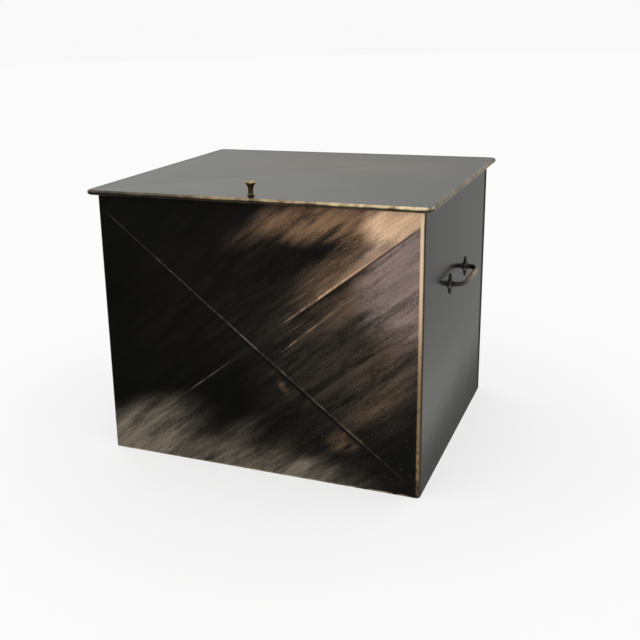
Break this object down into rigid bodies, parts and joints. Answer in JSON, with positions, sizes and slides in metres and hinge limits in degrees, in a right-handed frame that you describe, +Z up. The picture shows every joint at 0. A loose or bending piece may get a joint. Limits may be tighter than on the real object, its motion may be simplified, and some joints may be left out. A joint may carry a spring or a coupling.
{
  "type": "kindling box",
  "caption": "Rectangular sheet-metal box for kindling: cross-broken front and lid, lid hinged at the back, small flared knob, bow handle on each side.",
  "frame": {"origin": "middle of the underside, on the floor", "axes": "+X to the right seen from the front, +Y to the back where the hinges are, +Z up"},
  "size_m": [0.44, 0.373, 0.3531],
  "materials": {
    "front_lacquer": "dark glossy lacquer, brushed back to copper and brass in diagonal streaks",
    "wall_lacquer": "dark glossy lacquer",
    "lid_lacquer": "dark glossy lacquer with a brass-rubbed rim",
    "base_black": "satin black",
    "handle_black": "dark lacquer, rubbed to brass on the outer curve",
    "hinge_black": "dark lacquer, rubbed at the knuckles",
    "rivet_brass": "aged brass",
    "knob_brass": "aged brass, dark in the neck",
    "plain_steel": "zinc-plated"
  },
  "bodies": {
    "box": {"front_panel": "front_lacquer", "back_panel": "wall_lacquer", "left_panel": "wall_lacquer", "right_panel": "wall_lacquer", "base_panel": "base_black", "right_handle_grip": "handle_black", "right_handle_front_star": "handle_black", "right_handle_front_washer": "plain_steel", "right_handle_front_nut": "plain_steel", "right_handle_rear_star": "handle_black", "right_handle_rear_washer": "plain_steel", "right_handle_rear_nut": "plain_steel", "left_handle_grip": "handle_black", "left_handle_front_star": "handle_black", "left_handle_front_washer": "plain_steel", "left_handle_front_nut": "plain_steel", "left_handle_rear_star": "handle_black", "left_handle_rear_washer": "plain_steel", "left_handle_rear_nut": "plain_steel", "left_hinge_body_leaf": "hinge_black", "left_hinge_body_rivet_1": "rivet_brass", "left_hinge_body_rivet_2": "rivet_brass", "left_hinge_body_rivet_3": "rivet_brass", "left_hinge_pin": "plain_steel", "right_hinge_body_leaf": "hinge_black", "right_hinge_body_rivet_1": "rivet_brass", "right_hinge_body_rivet_2": "rivet_brass", "right_hinge_body_rivet_3": "rivet_brass", "right_hinge_pin": "plain_steel"},
    "lid": {"lid_panel": "lid_lacquer", "knob": "knob_brass", "knob_washer": "plain_steel", "knob_screw": "plain_steel", "left_hinge_lid_leaf": "hinge_black", "left_hinge_lid_rivet_1": "rivet_brass", "left_hinge_lid_rivet_2": "rivet_brass", "left_hinge_lid_rivet_3": "rivet_brass", "right_hinge_lid_leaf": "hinge_black", "right_hinge_lid_rivet_1": "rivet_brass", "right_hinge_lid_rivet_2": "rivet_brass", "right_hinge_lid_rivet_3": "rivet_brass"}
  },
  "joints": [
    {"name": "lid_hinge", "type": "hinge", "parent": "box", "child": "lid", "pos_m": [0, 0.17875, 0.32725], "axis": [-1, 0, 0], "range_deg": [0, 125]}
  ]
}
